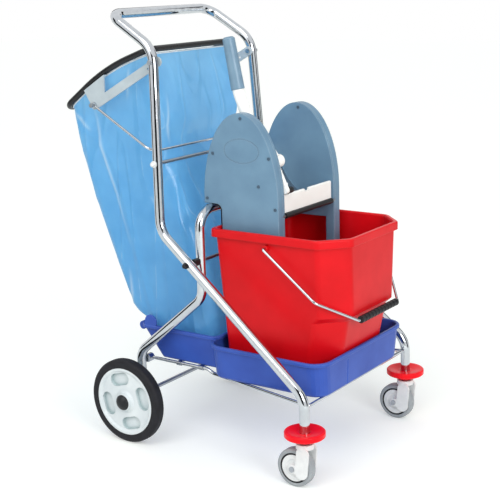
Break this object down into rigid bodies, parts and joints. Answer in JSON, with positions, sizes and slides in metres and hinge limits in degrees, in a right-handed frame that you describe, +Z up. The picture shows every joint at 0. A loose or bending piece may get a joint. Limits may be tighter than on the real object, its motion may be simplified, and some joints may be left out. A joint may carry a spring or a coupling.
{
  "type": "janitor cart",
  "caption": "Bent-tube janitor cart with a refuse bag on a rear ring, large rear wheels, swivel front casters, and a bucket with a lever mop press standing in a tray.",
  "frame": {"origin": "bottom centre of the overall box, on the floor", "axes": "+X to the front casters, +Y to the cart's left side, +Z up"},
  "size_m": [0.7557, 0.54, 0.991],
  "materials": {
    "chrome_tube": "bright chrome plate",
    "bright_wire": "bright plated wire",
    "zinc_steel": "bright zinc",
    "black_plastic": "satin",
    "white_nut": "gloss",
    "wheel_grey": "satin",
    "black_tyre": "matt rubber",
    "bumper_red": "satin",
    "white_plastic": "semi-gloss",
    "grey_tread": "satin rubber",
    "tray_blue": "satin moulded",
    "arm_grey": "satin paint",
    "black_rubber": "satin rubber",
    "bag_blue": "glossy film",
    "bucket_red": "satin moulded",
    "press_grey": "satin moulded",
    "sieve_steel": "perforated sheet",
    "grip_grey": "matt rubber"
  },
  "bodies": {
    "cart": {"main_frame": "chrome_tube", "rear_frame": "chrome_tube", "crossing_rod": "zinc_steel", "crossing_spacers": "black_plastic", "crossing_caps": "black_plastic", "tie_rod": "zinc_steel", "tie_rod_nuts": "white_nut", "rear_axle": "zinc_steel", "axle_spacers": "zinc_steel", "axle_caps": "black_plastic", "leg_plugs": "black_plastic", "bumper_right": "bumper_red", "bumper_left": "bumper_red", "caster_socket_right": "black_plastic", "caster_socket_left": "black_plastic", "tray": "tray_blue", "tray_carrier": "chrome_tube", "carrier_clips": "zinc_steel", "bag_arm_right": "arm_grey", "bag_arm_left": "arm_grey", "arm_bolts": "zinc_steel", "strut_bail": "chrome_tube", "bag_ring": "bright_wire", "clamp_profile": "black_rubber", "bag": "bag_blue"},
    "rear_wheel_right": {"rear_rim_right": "wheel_grey", "rear_tyre_right": "black_tyre"},
    "rear_wheel_left": {"rear_rim_left": "wheel_grey", "rear_tyre_left": "black_tyre"},
    "caster_right": {"caster_fork_right": "white_plastic", "caster_axle_right": "zinc_steel"},
    "caster_wheel_right": {"caster_hub_right": "white_plastic", "caster_ring_right": "black_plastic", "caster_tyre_right": "grey_tread"},
    "caster_left": {"caster_fork_left": "white_plastic", "caster_axle_left": "zinc_steel"},
    "caster_wheel_left": {"caster_hub_left": "white_plastic", "caster_ring_left": "black_plastic", "caster_tyre_left": "grey_tread"},
    "pail": {"bucket": "bucket_red", "bail_ears": "bucket_red"},
    "pail_handle": {"bail": "bright_wire", "bail_grip": "black_plastic"},
    "press": {"press_side_right": "press_grey", "press_side_left": "press_grey", "press_cover_right": "press_grey", "press_cover_left": "press_grey", "cover_screws": "black_plastic", "heel_pads": "black_rubber", "press_trough": "sieve_steel", "jaw_rod": "zinc_steel", "pivot_pin": "zinc_steel"},
    "lever": {"lever_hub": "white_plastic", "lever_roller": "black_plastic", "lever_arm": "white_plastic", "lever_grip": "grip_grey"},
    "jaw": {"jaw_plate": "white_plastic", "jaw_barrel": "black_plastic"}
  },
  "joints": [
    {"name": "rear_wheel_right_spin", "type": "hinge", "parent": "cart", "child": "rear_wheel_right", "pos_m": [-0.16885, -0.225, 0.1], "axis": [0, 1, 0], "continuous": true},
    {"name": "rear_wheel_left_spin", "type": "hinge", "parent": "cart", "child": "rear_wheel_left", "pos_m": [-0.16885, 0.225, 0.1], "axis": [0, 1, 0], "continuous": true},
    {"name": "caster_right_swivel", "type": "hinge", "parent": "cart", "child": "caster_right", "pos_m": [0.31815, -0.226, 0.1], "axis": [0, 0, 1], "continuous": true},
    {"name": "caster_right_roll", "type": "hinge", "parent": "caster_right", "child": "caster_wheel_right", "pos_m": [0.29615, -0.226, 0.0425], "axis": [0, 1, 0], "continuous": true},
    {"name": "caster_left_swivel", "type": "hinge", "parent": "cart", "child": "caster_left", "pos_m": [0.31815, 0.226, 0.1], "axis": [0, 0, 1], "continuous": true},
    {"name": "caster_left_roll", "type": "hinge", "parent": "caster_left", "child": "caster_wheel_left", "pos_m": [0.29615, 0.226, 0.0425], "axis": [0, 1, 0], "continuous": true},
    {"name": "bucket_lift", "type": "slide", "parent": "cart", "child": "pail", "axis": [0, 0, 1], "range_m": [0, 0.4]},
    {"name": "bail_swing", "type": "hinge", "parent": "pail", "child": "pail_handle", "pos_m": [0.17915, 0, 0.4873], "axis": [0, -1, 0], "range_deg": [0, 80]},
    {"name": "press_lift", "type": "slide", "parent": "pail", "child": "press", "axis": [0, 0, 1], "range_m": [0, 0.3]},
    {"name": "lever_pull", "type": "hinge", "parent": "press", "child": "lever", "pos_m": [0.16915, -0.088, 0.665], "axis": [0, 1, 0], "range_deg": [0, 32]},
    {"name": "jaw_swing", "type": "hinge", "parent": "press", "child": "jaw", "pos_m": [0.19415, 0, 0.549], "axis": [0, 1, 0], "range_deg": [-40, 0]}
  ],
  "couplings": [
    {"joint": "jaw_swing", "follows": "lever_pull", "ratio": -1.25}
  ]
}
